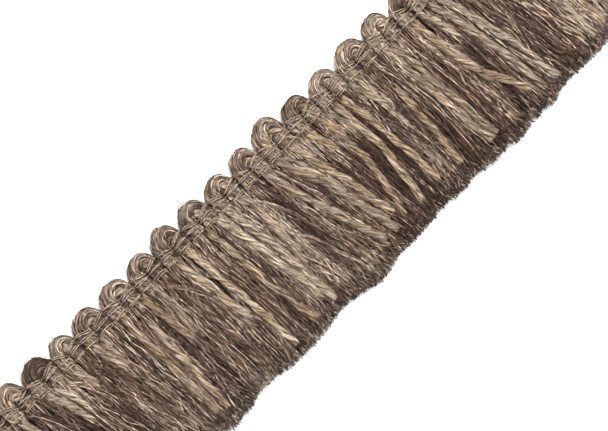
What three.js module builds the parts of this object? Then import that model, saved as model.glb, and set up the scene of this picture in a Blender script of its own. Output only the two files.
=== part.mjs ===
// A cut length of brush fringe, lying face up on a table.
// Thick yarn bundles turn over at the top as a row of rounded loops, pass down through three
// rows of binding thread that hold them side by side as the heading, and hang on as a deep,
// dense skirt of locks that is cut at the bottom, a little unevenly.
// +X runs along the trim, +Y points from the skirt to the loops, +Z is up, out of the face.
// The origin is in the middle of the heading's flat back, under the middle binding row.

import * as THREE from 'three';
import { mergeVertices } from 'three/addons/utils/BufferGeometryUtils.js';

// Driving dimensions, in millimetres
const CLEARANCE = 0.3; // between separate pieces
const TRIM_LENGTH = 195;
const PINCHED_THICKNESS = 3.5; // bundles where the binding threads hold them
const SHOULDER_THICKNESS = 3.7; // bundles where they start to turn
const CROWN_THICKNESS = 4.3; // bundles where they turn over freely

// Each bundle turns over once. width is its share of the trim's length, and rise is how far
// its loop stands above the middle binding row.
const LOOPS = [
  { width: 8.9, rise: 5.9 },
  { width: 8.9, rise: 6.5 },
  { width: 9.0, rise: 6.1 },
  { width: 7.6, rise: 5.4 },
  { width: 9.4, rise: 5.8 },
  { width: 9.5, rise: 5.7 },
  { width: 8.6, rise: 5.8 },
  { width: 8.7, rise: 6.5 },
  { width: 9.0, rise: 5.9 },
  { width: 8.6, rise: 5.7 },
  { width: 8.6, rise: 6.1 },
  { width: 9.3, rise: 7.6 },
  { width: 8.6, rise: 5.8 },
  { width: 9.0, rise: 5.6 },
  { width: 9.8, rise: 6.1 },
  { width: 8.3, rise: 6.1 },
  { width: 9.0, rise: 5.6 },
  { width: 8.7, rise: 6.0 },
  { width: 9.2, rise: 5.7 },
  { width: 8.6, rise: 6.2 },
  { width: 8.9, rise: 5.8 },
  { width: 8.8, rise: 5.9 },
];

// How each leg of a loop is pinched by the binding on its way down from the arc. The first
// stretch is where neighbouring legs are joined.
const LEG_STATIONS = [
  { y: 0, thickness: PINCHED_THICKNESS },
  { y: -0.95, thickness: 3.8 },
  { y: -1.9, thickness: PINCHED_THICKNESS },
  { y: -3.0, thickness: 3.7 },
];
const ARC_STEPS = 6; // straight runs in each half turn
const LOOP_FILL = 0.93; // the bundle's half width over its bend radius, so the turn has no hole

// The bundle's section: across is in half widths and up is in thicknesses. It lies flat.
const BUNDLE_SECTION = [
  { across: -0.9, up: 0 },
  { across: 0.9, up: 0 },
  { across: 1, up: 0.46 },
  { across: 0.52, up: 1 },
  { across: -0.52, up: 1 },
  { across: -1, up: 0.46 },
];
const OUTER_SIDE = { low: 1, high: 2 }; // the section's points that a neighbour joins
const INNER_SIDE = { low: 0, high: 5 };

// Binding threads over the face. swing is how far a row climbs in the valleys between loops,
// and bed is the height of the bundles under it.
const BINDING_ROWS = [
  { name: 'binding_row_top', y: 1.55, swing: 0.75, bed: 3.95 },
  { name: 'binding_row_middle', y: 0, swing: 0, bed: 3.6 },
  { name: 'binding_row_bottom', y: -1.9, swing: 0, bed: 3.6 },
];
// dip is how far a row sinks between two legs, and crestShare how much of a leg it lies flat on
const BINDING = { width: 0.8, thickness: 0.5, dip: 0.5, crestShare: 0.5 };
const LEG_SHARE = 1 / 2; // a leg's width as a share of its loop's

// The skirt's three layers of locks. Each is rooted in a narrow strip, from bottom to top, and
// its tips stay short of the skirt's cut edge by at least the layer's own measure.
// Each station gives the place down the lock, from 0 at the strip to 1 at the tip, the height
// of its underside and its thickness. The back layer lies on the table along its whole length.
const STRIP = { upperY: -3.3, lowerY: -4.5 };
const LAYERS = [
  {
    name: 'skirt_back',
    colour: new THREE.Color(0.16, 0.13, 0.11),
    locksPerLoop: 3,
    shortOfEdge: 0,
    unevenLength: 0.7,
    unevenHeight: 0,
    leanShare: 0.45,
    fill: 0.86,
    strip: { bottom: 0, top: 1.1 },
    stations: [
      { at: 0.3, bottom: 0, thickness: 1.95 },
      { at: 1, bottom: 0, thickness: 2.25 },
    ],
  },
  {
    name: 'skirt_middle',
    colour: new THREE.Color(0.22, 0.18, 0.15),
    locksPerLoop: 3,
    shortOfEdge: 0.5,
    unevenLength: 0.9,
    unevenHeight: 0,
    leanShare: 0.7,
    fill: 0.86,
    strip: { bottom: 1.4, top: 2.4 },
    stations: [
      { at: 0.3, bottom: 2.35, thickness: 1.8 },
      { at: 1, bottom: 2.65, thickness: 2.2 },
    ],
  },
  {
    name: 'skirt_front',
    colour: new THREE.Color(0.36, 0.29, 0.23),
    locksPerLoop: 4,
    shortOfEdge: 2.1,
    unevenLength: 1.3,
    unevenHeight: 0.5,
    leanShare: 1,
    fill: 0.78,
    strip: { bottom: 2.7, top: 3.8 },
    stations: [
      { at: 0.12, bottom: 3.6, thickness: 1.7 },
      { at: 0.35, bottom: 4.8, thickness: 2.1 },
      { at: 1, bottom: 5.2, thickness: 2.1 },
    ],
  },
];
const LOCK_TOP_SHARE = 0.72; // a lock's top is narrower than its underside
const LEAN_CURVE = 1.3; // above 1, a lock leans more and more on its way down
const MOST_SPREAD = 1.12; // how much wider a lock may grow where the locks fan out

// The skirt's cut edge, in tufts that reach a little lower than their neighbours
const EDGE = [
  { x: -97.5, y: -38.6 },
  { x: -88, y: -39.3 },
  { x: -78, y: -38.5 },
  { x: -66, y: -39.1 },
  { x: -57, y: -38.4 },
  { x: -50.6, y: -40 },
  { x: -47.9, y: -39.1 },
  { x: -45.6, y: -39.8 },
  { x: -43.4, y: -38.5 },
  { x: -35.2, y: -38.2 },
  { x: -31.5, y: -39.4 },
  { x: -21.6, y: -39.5 },
  { x: -10.2, y: -38.2 },
  { x: -2, y: -40.5 },
  { x: 5.7, y: -38.9 },
  { x: 13.9, y: -39.1 },
  { x: 20.7, y: -38.2 },
  { x: 27.5, y: -39.1 },
  { x: 32.1, y: -38.6 },
  { x: 38.4, y: -39.7 },
  { x: 42.1, y: -39.1 },
  { x: 46.2, y: -40.3 },
  { x: 53.9, y: -38.6 },
  { x: 57.1, y: -40.1 },
  { x: 60.8, y: -38.8 },
  { x: 76.7, y: -38.6 },
  { x: 84, y: -39.4 },
  { x: 97.5, y: -38.9 },
];

// How far a front lock's tip lies to the right of its root, along the trim
const LEANS = [
  { x: -97.5, offset: 1.5 },
  { x: -76, offset: 4.5 },
  { x: -54, offset: 2.2 },
  { x: -38, offset: 0.2 },
  { x: -20, offset: 1.2 },
  { x: 0, offset: 4.4 },
  { x: 12, offset: 2.6 },
  { x: 28, offset: -0.6 },
  { x: 42, offset: 0.2 },
  { x: 56, offset: 3.2 },
  { x: 72, offset: 3.0 },
  { x: 97.5, offset: -0.8 },
];

const YARN = { roughness: 0.9, metalness: 0 };
const LOOP_COLOUR = new THREE.Color(0.42, 0.35, 0.28);
const BINDING_COLOUR = new THREE.Color(0.52, 0.45, 0.36);

// Unrelated steps that scatter the values of uneven
const SCATTER = { perIndex: 12.9898, perKind: 78.233, stretch: 43758.5453 };

// A steady value from 0 to 1 for a whole number and a kind, the same in every run
function uneven(index, kind) {
  const wave = Math.sin(index * SCATTER.perIndex + kind * SCATTER.perKind) * SCATTER.stretch;
  return wave - Math.floor(wave);
}

// The faces around a row of rings that all have the same number of points. isOpen tells which
// faces to leave out, by the ring they start from and the side they are on.
function sides(rings, isOpen = () => false) {
  const count = rings[0].length;
  const faces = [];
  for (let r = 0; r < rings.length - 1; r++) {
    for (let s = 0; s < count; s++) {
      const t = (s + 1) % count;
      if (!isOpen(r, s)) {
        faces.push([rings[r][s], rings[r][t], rings[r + 1][t], rings[r + 1][s]]);
      }
    }
  }
  return faces;
}

// The two end faces of a row of rings
function ends(rings) {
  return [[...rings[0]].reverse(), rings.at(-1)];
}

// One closed body from faces that meet in shared corners
function body(faces) {
  const positions = [];
  for (const face of faces) {
    for (let i = 1; i < face.length - 1; i++) {
      for (const corner of [face[0], face[i], face[i + 1]]) {
        positions.push(corner.x, corner.y, corner.z);
      }
    }
  }
  const loose = new THREE.BufferGeometry();
  loose.setAttribute('position', new THREE.Float32BufferAttribute(positions, 3));
  const geometry = mergeVertices(loose);
  geometry.computeVertexNormals();
  return geometry;
}

// Where each loop starts along the trim, with its bend radius
function placeLoops() {
  let left = -TRIM_LENGTH / 2;
  return LOOPS.map(({ width, rise }) => {
    const place = { left, width, rise, centre: left + width / 2, bend: width / 4 };
    left += width;
    return place;
  });
}

// The bundle's section at a point of its route, with outward pointing away from the bend
function bundleRing(middle, outward, bend, thickness) {
  return BUNDLE_SECTION.map(
    ({ across, up }) =>
      new THREE.Vector3(
        middle.x + outward.x * across * bend * LOOP_FILL,
        middle.y + outward.y * across * bend * LOOP_FILL,
        up * thickness,
      ),
  );
}

// The rings of one leg of a loop, from the arc down. side is -1 for the left leg, 1 for the right.
function legRings({ centre, bend }, side) {
  const outward = new THREE.Vector2(side, 0);
  return LEG_STATIONS.map(({ y, thickness }) =>
    bundleRing(new THREE.Vector2(centre + side * bend, y), outward, bend, thickness),
  );
}

// The rings of a loop's half turn, from left to right
function arcRings({ centre, rise, bend }) {
  const arcY = rise - bend * (1 + LOOP_FILL);
  const rings = [];
  for (let i = 0; i <= ARC_STEPS; i++) {
    const turn = Math.PI * (1 - i / ARC_STEPS);
    const outward = new THREE.Vector2(Math.cos(turn), Math.sin(turn));
    const middle = new THREE.Vector2(centre, arcY).addScaledVector(outward, bend);
    const thickness = THREE.MathUtils.lerp(SHOULDER_THICKNESS, CROWN_THICKNESS, outward.y);
    rings.push(bundleRing(middle, outward, bend, thickness));
  }
  return rings;
}

// The faces of a short web between two neighbouring legs
function web(leftLeg, rightLeg, { low, high }) {
  const corners = ([upper, lower]) => [upper[low], upper[high], lower[high], lower[low]];
  return sides([corners(leftLeg), corners(rightLeg)]);
}

// All the bundles side by side, each leg joined to the next one under the binding
function heading(loops) {
  const faces = [];
  let before = null;
  for (const loop of loops) {
    const left = legRings(loop, -1);
    const right = legRings(loop, 1);
    const rings = [...[...left].reverse(), ...arcRings(loop), ...right];
    const leftStretch = left.length - 2;
    const rightStretch = rings.length - right.length;
    const isFirst = before === null;
    const isLast = loop === loops.at(-1);
    const isOpen = (r, s) => {
      const inner = s === INNER_SIDE.high;
      const outer = s === OUTER_SIDE.low;
      if (r === leftStretch) return inner || (outer && !isFirst);
      if (r === rightStretch) return inner || (outer && !isLast);
      return false;
    };
    faces.push(...sides(rings, isOpen), ...ends(rings), ...web(left, right, INNER_SIDE));
    if (before) faces.push(...web(before, left, OUTER_SIDE));
    before = right;
  }
  return body(faces);
}

// A thread that lies over every leg of a loop and dips into the valley on each side of it
function bindingRow({ y, swing, bed }, loops) {
  const { width, thickness, dip, crestShare } = BINDING;
  const crest = bed + CLEARANCE;
  const path = [];
  const half = (crestShare * LEG_SHARE) / 2;
  for (const { left, width: span } of loops) {
    for (const leg of [LEG_SHARE / 2, (LEG_SHARE * 3) / 2]) {
      path.push({ left, span, share: leg - half, z: crest });
      path.push({ left, span, share: leg + half, z: crest });
      path.push({ left, span, share: leg + LEG_SHARE / 2, z: crest - dip });
    }
  }
  path.pop();
  const rings = path.map(({ left, span, share, z }) => {
    const x = left + share * span;
    const middle = y + swing * Math.cos(2 * Math.PI * share);
    return [
      new THREE.Vector3(x, middle + width / 2, z),
      new THREE.Vector3(x, middle, z + thickness),
      new THREE.Vector3(x, middle - width / 2, z),
    ];
  });
  return body([...sides(rings), ...ends(rings)]);
}

// The value of a table's column at x, in straight runs between its rows
function valueAt(table, column, x) {
  const within = THREE.MathUtils.clamp(x, table[0].x, table.at(-1).x);
  const next = Math.max(1, table.findIndex((row) => row.x >= within));
  const low = table[next - 1];
  const high = table[next];
  const share = (within - low.x) / (high.x - low.x);
  return THREE.MathUtils.lerp(low[column], high[column], share);
}

// How far a front lock that is rooted at x leans along the trim
function leanAt(x) {
  return valueAt(LEANS, 'offset', x);
}

// The rings of one lock below its strip, down to its cut tip
function lockRings(layer, rootX, pitch, number) {
  const lean = leanAt(rootX) * layer.leanShare;
  const fan = ((leanAt(rootX + 1) - leanAt(rootX - 1)) / 2) * layer.leanShare;
  const edge = valueAt(EDGE, 'y', rootX + lean);
  const tipY = edge + layer.shortOfEdge + uneven(number, 1) * layer.unevenLength;
  const lift = uneven(number, 2) * layer.unevenHeight;
  return layer.stations.map(({ at, bottom, thickness }) => {
    const room = pitch * THREE.MathUtils.lerp(1, Math.min(MOST_SPREAD, 1 + fan), at);
    const half = (room * layer.fill) / 2;
    const topHalf = half * LOCK_TOP_SHARE;
    const x = rootX + lean * at ** LEAN_CURVE;
    const y = THREE.MathUtils.lerp(STRIP.lowerY, tipY, at);
    const z = bottom + lift * at;
    return [
      new THREE.Vector3(x - half, y, z),
      new THREE.Vector3(x + half, y, z),
      new THREE.Vector3(x + topHalf, y, z + thickness),
      new THREE.Vector3(x - topHalf, y, z + thickness),
    ];
  });
}

// One layer of the skirt: its strip, open towards each lock, and the locks that grow from it
function skirtLayer(layer, loops) {
  const { bottom, top } = layer.strip;
  const section = (x) => [
    new THREE.Vector3(x, STRIP.lowerY, bottom),
    new THREE.Vector3(x, STRIP.lowerY, top),
    new THREE.Vector3(x, STRIP.upperY, top),
    new THREE.Vector3(x, STRIP.upperY, bottom),
  ];
  const strip = [section(-TRIM_LENGTH / 2)];
  const faces = [];
  for (const [n, { left, width }] of loops.entries()) {
    const pitch = width / layer.locksPerLoop;
    const half = (pitch * layer.fill) / 2;
    for (let k = 0; k < layer.locksPerLoop; k++) {
      const rootX = left + (k + 0.5) * pitch;
      const [from, to] = [section(rootX - half), section(rootX + half)];
      const root = [from[0], to[0], to[1], from[1]];
      const rings = [root, ...lockRings(layer, rootX, pitch, n * layer.locksPerLoop + k)];
      faces.push(...sides(rings), rings.at(-1));
      strip.push(from, to);
    }
  }
  strip.push(section(TRIM_LENGTH / 2));
  const isRoot = (r, s) => s === 0 && r % 2 === 1;
  const stripEnds = ends(strip).map((face) => [...face].reverse());
  const stripSides = sides(strip, isRoot).map((face) => [...face].reverse());
  return body([...faces, ...stripEnds, ...stripSides]);
}

function piece(name, geometry, colour) {
  const mesh = new THREE.Mesh(geometry, new THREE.MeshStandardMaterial({ color: colour, ...YARN }));
  mesh.name = name;
  return mesh;
}

const loops = placeLoops();
const trim = new THREE.Group();
trim.add(piece('heading', heading(loops), LOOP_COLOUR));
for (const row of BINDING_ROWS) {
  trim.add(piece(row.name, bindingRow(row, loops), BINDING_COLOUR));
}
for (const layer of LAYERS) {
  trim.add(piece(layer.name, skirtLayer(layer, loops), layer.colour));
}

export default trim;
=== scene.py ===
"""A cut length of brush fringe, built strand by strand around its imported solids.

Sizes are in millimetres in the part's own frame: +X along the trim, +Y towards the loops, +Z up.
They are turned into metres when a mesh is made.
"""

import math
from collections import namedtuple

import bpy
import numpy as np
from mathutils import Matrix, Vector


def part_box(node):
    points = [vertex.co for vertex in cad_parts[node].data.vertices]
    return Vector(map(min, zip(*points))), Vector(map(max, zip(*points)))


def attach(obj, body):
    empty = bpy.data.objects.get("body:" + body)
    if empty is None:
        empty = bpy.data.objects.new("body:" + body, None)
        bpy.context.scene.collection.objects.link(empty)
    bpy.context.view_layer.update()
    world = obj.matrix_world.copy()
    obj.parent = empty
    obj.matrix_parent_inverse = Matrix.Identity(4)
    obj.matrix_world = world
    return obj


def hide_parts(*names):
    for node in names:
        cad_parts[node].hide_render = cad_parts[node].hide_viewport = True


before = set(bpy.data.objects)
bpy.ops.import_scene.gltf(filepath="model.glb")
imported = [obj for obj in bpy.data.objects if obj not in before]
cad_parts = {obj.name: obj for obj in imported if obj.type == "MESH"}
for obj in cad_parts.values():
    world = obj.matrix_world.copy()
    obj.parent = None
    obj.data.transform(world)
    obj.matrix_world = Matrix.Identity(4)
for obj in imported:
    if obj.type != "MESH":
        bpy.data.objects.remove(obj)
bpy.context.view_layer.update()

METRES = 0.001
BODY = "root"
TURN = 2 * math.pi

# The trim, as its solids have it
HALF_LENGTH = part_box("skirt_back")[1][0] / METRES
TIP_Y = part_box("skirt_back")[0][1] / METRES
FRONT_TIP_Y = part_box("skirt_front")[0][1] / METRES

# One row for each loop. width is its share of the trim's length, and rise is how far it stands
# above the middle binding row. The rest says how light its yarn is, from 0 for dark brown to 1
# for beige: the loop's own arcs, its outermost arcs, its two legs, and the skirt under each leg.
Loop = namedtuple("Loop", "width rise arcs rim left right skirt_left skirt_right")
LOOPS = [Loop(*row) for row in [
    (8.9, 6.1, 0.50, 0.35, 0.60, 0.40, 0.35, 0.30),
    (8.9, 6.7, 0.70, 0.60, 0.90, 0.20, 0.30, 0.10),
    (9.0, 6.3, 0.25, 0.08, 0.85, 0.60, 0.30, 0.35),
    (7.6, 5.6, 0.76, 0.66, 0.80, 0.20, 0.40, 0.28),
    (9.4, 6.0, 0.66, 0.34, 0.70, 0.12, 0.20, 0.32),
    (9.5, 5.9, 0.66, 0.60, 0.70, 0.65, 0.30, 0.34),
    (8.6, 6.0, 0.60, 0.50, 0.95, 0.25, 0.28, 0.28),
    (8.7, 6.7, 0.53, 0.40, 0.80, 0.75, 0.30, 0.22),
    (9.0, 6.1, 0.58, 0.50, 0.28, 0.38, 0.06, 0.18),
    (8.6, 5.9, 0.66, 0.48, 0.66, 0.76, 0.34, 0.30),
    (8.6, 6.3, 0.55, 0.62, 0.35, 0.80, 0.26, 0.36),
    (9.3, 7.8, 0.70, 0.30, 0.85, 0.60, 0.32, 0.38),
    (8.6, 6.0, 0.46, 0.00, 1.00, 1.05, 0.30, 0.24),
    (9.0, 5.8, 0.78, 0.70, 0.80, 0.95, 0.12, 0.18),
    (9.8, 6.3, 0.65, 0.56, 0.65, 0.40, 0.34, 0.08),
    (8.3, 6.3, 0.76, 0.42, 0.95, 0.75, 0.30, 0.28),
    (9.0, 5.8, 0.54, 0.40, 0.90, 0.90, 0.30, 0.06),
    (8.7, 6.2, 0.60, 0.50, 0.80, 0.95, 0.32, 0.04),
    (9.2, 5.9, 0.35, 0.20, 0.40, 0.30, 0.00, 0.10),
    (8.6, 6.4, 0.65, 0.60, 0.85, 0.80, 0.34, 0.30),
    (8.9, 6.0, 0.45, 0.20, 0.70, 0.40, 0.30, 0.20),
    (8.8, 6.1, 0.60, 0.50, 0.80, 0.60, 0.36, 0.25),
]]

# The light plied yarns that lie on the face of the skirt. Each runs from where it shows first to
# where it sinks among the fine yarns or is cut. bow is how far its middle swings to the right,
# tan is how much of it is tan, and lift is how high it lies.
Yarn = namedtuple("Yarn", "x0 y0 x1 y1 bow tan lift")
YARNS = [Yarn(*row) for row in [
    (-95.3, -2.2, -93.0, -33.0, 0.5, 0.2, 0.3),
    (-91.0, -2.4, -87.5, -34.0, 0.6, 0.3, 0.2),
    (-86.4, -2.2, -79.5, -30.0, 0.4, 0.1, 0.4),
    (-77.5, -2.3, -73.2, -14.8, 0.3, 0.1, 0.5),
    (-74.6, -2.3, -72.3, -12.0, 0.4, 0.2, 0.4),
    (-69.1, -2.3, -66.5, -10.0, 0.3, 0.1, 0.4),
    (-61.2, -2.3, -59.3, -11.0, 0.2, 0.1, 0.6),
    (-59.6, -2.3, -58.0, -11.5, 0.2, 0.2, 0.3),
    (-51.4, -2.3, -51.5, -34.5, 0.3, 0.3, 0.6),
    (-47.8, -6.5, -48.6, -35.5, 0.2, 0.3, 0.6),
    (-45.0, -3.0, -43.2, -18.0, 0.3, 0.4, 0.6),
    (-40.7, -2.3, -41.9, -17.5, 0.6, 0.1, 0.7),
    (-36.8, -8.0, -35.5, -36.2, 0.5, 0.5, -0.2),
    (-32.8, -2.4, -30.0, -24.0, 0.2, 0.2, 0.6),
    (-29.2, -2.4, -26.6, -36.6, 0.5, 0.3, 0.6),
    (-22.4, -2.6, -19.2, -35.8, -0.3, 0.3, 0.6),
    (-18.7, -2.4, -14.3, -31.5, 0.4, 0.1, 0.9),
    (-15.7, -2.4, -12.6, -35.5, 0.8, 0.2, 0.8),
    (-11.2, -2.4, -11.4, -24.5, 0.9, 0.0, 0.8),
    (-3.0, -2.4, 6.2, -34.2, -0.6, 0.2, 0.4),
    (0.9, -2.4, 9.8, -34.6, 0.9, 0.1, 0.6),
    (3.0, -2.6, 8.4, -29.0, 0.5, 0.1, 0.3),
    (5.8, -2.4, 11.8, -30.5, 0.3, 0.7, 0.5),
    (10.7, -2.4, 12.9, -10.5, 0.2, 0.5, 0.3),
    (15.2, -2.4, 13.2, -33.0, 2.0, 0.6, 0.4),
    (17.9, -2.8, 19.0, -12.0, 0.4, 0.2, 0.3),
    (20.0, -3.2, 18.5, -33.4, 1.6, 0.3, 0.8),
    (22.7, -3.4, 24.8, -32.8, 0.5, 0.8, 0.4),
    (26.0, -2.4, 28.8, -11.5, 0.3, 0.2, 0.4),
    (33.2, -9.5, 31.2, -34.0, 0.4, 0.7, 0.2),
    (38.2, -2.4, 40.5, -35.6, -0.4, 0.1, 0.7),
    (39.8, -2.8, 42.4, -35.2, -0.1, 0.2, 0.6),
    (46.7, -2.6, 50.6, -26.5, 0.5, 0.1, 0.3),
    (47.6, -2.8, 55.4, -32.8, -2.5, 0.5, 0.8),
    (50.2, -2.4, 52.4, -13.0, 0.3, 0.2, 0.4),
    (53.2, -2.8, 58.2, -36.0, 0.8, 0.1, 0.5),
    (55.6, -2.6, 62.4, -36.2, 0.8, 0.1, 0.6),
    (66.6, -10.0, 72.6, -34.6, 0.5, 0.7, 0.0),
    (73.3, -2.4, 75.2, -35.6, 0.6, 0.1, 0.5),
    (77.6, -2.4, 79.2, -35.0, 0.4, 0.2, 0.4),
    (82.1, -2.4, 83.3, -34.0, 0.5, 0.4, 0.4),
    (86.5, -2.6, 86.9, -22.0, 0.4, 0.1, 0.3),
    (91.0, -2.4, 90.6, -34.4, 0.6, 0.2, 0.5),
    (95.2, -2.6, 94.4, -30.0, 0.3, 0.5, 0.2),
]]

# Wisps: groups of fine hairs that sweep across the face. Each runs from its root to its tip,
# swings to the right by bow, and is this wide at its root and at its tip.
Wisp = namedtuple("Wisp", "x0 y0 x1 y1 bow root tip shade")
WISPS = [Wisp(*row) for row in [
    (-83.3, -2.9, -77.6, -15.5, 0.8, 1.2, 1.6, 0.26),
    (-72.8, -3.6, -66.0, -18.0, 1.9, 1.0, 1.6, 0.30),
    (-66.4, -6.0, -57.9, -26.0, 2.8, 1.0, 2.0, 0.28),
    (-58.0, -9.0, -55.6, -27.0, 0.3, 0.8, 1.6, 0.30),
    (-44.0, -18.0, -48.4, -37.0, 0.5, 0.7, 1.5, 0.34),
    (-39.9, -6.0, -41.2, -25.0, -1.6, 0.8, 1.2, 0.36),
    (-40.0, -3.2, -30.6, -24.5, 2.0, 1.0, 1.7, 0.34),
    (-27.2, -4.0, -24.5, -36.0, 0.5, 0.9, 1.8, 0.30),
    (-11.2, -2.6, -2.8, -19.0, 0.8, 1.3, 1.6, 0.24),
    (-9.8, -15.0, -2.0, -36.5, 0.8, 0.9, 2.2, 0.36),
    (-8.8, -18.0, -12.4, -36.0, -0.4, 0.9, 1.8, 0.36),
    (-4.6, -16.0, 1.2, -38.6, 0.6, 0.9, 2.0, 0.34),
    (-1.7, -2.8, 3.2, -18.5, 0.4, 0.7, 1.2, 0.30),
    (22.0, -3.2, 29.4, -35.0, 1.8, 0.8, 1.4, 0.28),
    (33.7, -3.0, 36.4, -36.0, 1.9, 1.0, 1.7, 0.32),
    (42.6, -5.0, 44.6, -35.5, 0.6, 1.0, 1.9, 0.32),
    (66.2, -7.0, 60.6, -36.0, 0.6, 0.9, 1.4, 0.28),
    (66.8, -8.0, 71.0, -36.5, 0.4, 0.9, 2.4, 0.30),
]]

# How far the tips of the face's locks lie to the right of their roots
LEAN_X = [-97.5, -76, -54, -38, -20, 0, 12, 28, 42, 56, 72, 97.5]
LEAN_TIP = [1.5, 5.5, 2.6, 0.2, 1.2, 5.2, 3.0, -0.8, 0.2, 4.0, 3.6, -0.8]

# The height of the skirt's face above the table, along its depth
FACE_Y = [TIP_Y, -30, -22, -16, -11, -7.5, -4.5, -2.0]
FACE_Z = [7.0, 7.3, 7.2, 6.8, 6.1, 5.3, 4.2, 3.3]

# The skirt's lower edge, which is cut unevenly
EDGE_X = [-97.5, -88, -78, -66, -57, -53.6, -50.6, -47.9, -45.6, -43.4, -35.2, -31.5, -27.9, -21.6,
          -17, -10.2, -5.7, -2, 1.2, 5.7, 10.3, 13.9, 20.7, 27.5, 32.1, 38.4, 42.1, 46.2, 49.4, 53.9,
          57.1, 60.8, 65.3, 70.8, 76.7, 84, 91, 97.5]
EDGE_Y = [-38.6, -39.3, -38.5, -39.1, -38.4, -38.7, -40.0, -39.1, -39.8, -38.5, -38.2, -39.4, -39.5, -39.5,
          -38.8, -38.2, -39.2, -40.5, -40.0, -38.9, -39.1, -39.1, -38.2, -39.1, -38.6, -39.7, -39.1, -40.3,
          -39.7, -38.6, -40.1, -38.8, -38.4, -38.9, -38.6, -39.4, -38.5, -38.9]

# Where the fine yarns of the skirt are darker, or lighter where the value is negative: the left,
# right, top and bottom of each patch and how much darker it is. Patches that overlap add up.
Patch = namedtuple("Patch", "left right top bottom darker")
PATCHES = [Patch(*row) for row in [
    (-84.0, -74.0, -3, -14, 0.08),
    (-76.0, -58.0, -4, -37, 0.14),
    (-73.0, -62.5, -3, -34, 0.14),
    (-68.0, -63.5, -14, -36, 0.07),
    (-57.0, -52.0, -4, -36, 0.12),
    (-53.0, -47.0, -3, -30, 0.08),
    (-54.5, -50.5, -34, -42, -0.14),
    (-49.0, -44.0, -5, -36, 0.16),
    (-43.0, -33.0, -16, -36, 0.14),
    (-41.0, -31.0, -3, -36, 0.12),
    (-77.0, -72.0, -3, -12, 0.08),
    (-77.0, -72.0, -12, -24, 0.30),
    (-72.5, -67.5, -3, -12, -0.18),
    (-72.5, -67.5, -12, -34, -0.10),
    (-63.5, -55.0, -14, -42, -0.13),
    (-36.5, -33.0, -24, -40, 0.12),
    (-28.0, -24.0, -13, -40, 0.23),
    (-23.0, -18.8, -10, -36, 0.10),
    (-45.5, -41.5, -13, -24, 0.17),
    (-41.0, -36.0, -34, -42, -0.60),
    (-32.5, -28.5, -3, -14, -0.30),
    (-31.0, -17.0, -3, -13, -0.10),
    (-30.0, -16.0, -34, -42, -0.18),
    (-18.5, -13.0, -3, -14, -0.10),
    (-10.4, -6.6, -3, -12, -0.20),
    (-10.2, -7.0, -12, -34, -0.24),
    (-6.0, -2.4, -3, -26, 0.23),
    (-26.5, -21.5, -13, -34, 0.05),
    (-19.0, -11.0, -12, -26, 0.10),
    (-8.0, -3.0, -14, -24, 0.08),
    (-5.5, 0.0, -3, -13, 0.12),
    (-8.0, 4.0, -17, -33, 0.10),
    (-6.0, 4.5, -34, -42, -0.16),
    (4.0, 26.0, -11, -34, 0.12),
    (-2.0, 3.0, -24, -34, 0.13),
    (8.0, 20.5, -12, -42, 0.30),
    (7.5, 11.0, -3, -12, -0.18),
    (11.8, 15.8, -3, -12, -0.14),
    (20.5, 24.5, -3, -12, -0.14),
    (16.5, 19.5, -13, -24, 0.14),
    (24.5, 34.0, -13, -40, 0.14),
    (29.6, 33.4, -24, -42, -0.14),
    (33.5, 37.5, -24, -36, 0.26),
    (20.8, 24.2, -6, -33, 0.27),
    (30.5, 36.5, -3, -12, -0.15),
    (33.6, 38.2, -12, -36, 0.12),
    (39.0, 47.0, -10, -42, 0.18),
    (41.6, 46.5, -18, -37, 0.10),
    (47.0, 50.6, -24, -36, -0.12),
    (48.5, 52.5, -3, -30, -0.14),
    (48.0, 60.0, -34, -42, -0.09),
    (28.5, 37.5, -36, -42, -0.12),
    (42.5, 46.5, -24, -36, 0.30),
    (51.0, 55.0, -13, -36, 0.38),
    (52.5, 57.0, -4, -14, 0.20),
    (61.0, 68.0, -13, -34, 0.08),
    (69.0, 73.0, -24, -34, 0.20),
    (60.0, 65.0, -34, -42, -0.2),
    (60.8, 70.0, -4, -34, -0.10),
    (69.0, 80.0, -34, -42, -0.08),
    (73.0, 79.0, -10, -34, -0.20),
    (81.0, 97.5, -4, -36, 0.05),
]]

# Yarn colours as sRGB, from the darkest to the lightest, and the tan that is mixed in
SHADES = [0.0, 0.3, 0.6, 1.0]
SHADE_COLOURS = [(0.195, 0.146, 0.120), (0.322, 0.261, 0.224),
                 (0.485, 0.427, 0.372), (0.715, 0.664, 0.595)]
TAN = (0.50, 0.40, 0.295)
TAN_WHEN_DARK = 0.35  # how light the darkest tan is, as a share of the lightest
# the painted shade of the cut face at the skirt's lower edge
CUT_END_SHADE = (0.25, 0.20, 0.17)
SILKY_HUE = np.array([1.084, 0.944, 0.951])  # the darkest yarns of the skirt are a little rosier
PLIED_HUE = np.array([0.975, 1.0, 0.99])  # the plied yarns on its face are a little greyer


def linear(colour):
    """An sRGB colour as the linear light that a shader works in."""
    c = np.asarray(colour, float)
    return np.where(c <= 0.04045, c / 12.92, ((c + 0.055) / 1.055) ** 2.4)


def yarn_colour(shade, tan=0.0):
    """The colour of yarn by how light and how tan it is, for arrays of any shape."""
    shade = np.clip(shade, 0, 1)
    table = linear(SHADE_COLOURS)
    colour = np.stack([np.interp(shade, SHADES, table[:, k]) for k in range(3)], -1)
    tan = np.clip(np.broadcast_to(tan, shade.shape), 0, 1)[..., None]
    tan_light = TAN_WHEN_DARK + (1 - TAN_WHEN_DARK) * shade[..., None]
    return colour * (1 - tan) + linear(TAN) * tan_light * tan


def silky_colour(shade, tan):
    """The colour of the fine yarns of the skirt: rosier than the others where they are dark."""
    rosy = (1 - np.clip(shade, 0, 1))[..., None]
    return yarn_colour(shade, tan) * (1 + (SILKY_HUE - 1) * rosy)


def smooth(x, low, high):
    """Rises smoothly from 0 at low to 1 at high. It falls where low is the higher of the two."""
    t = np.clip((x - low) / (high - low), 0, 1)
    return t * t * (3 - 2 * t)


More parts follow.
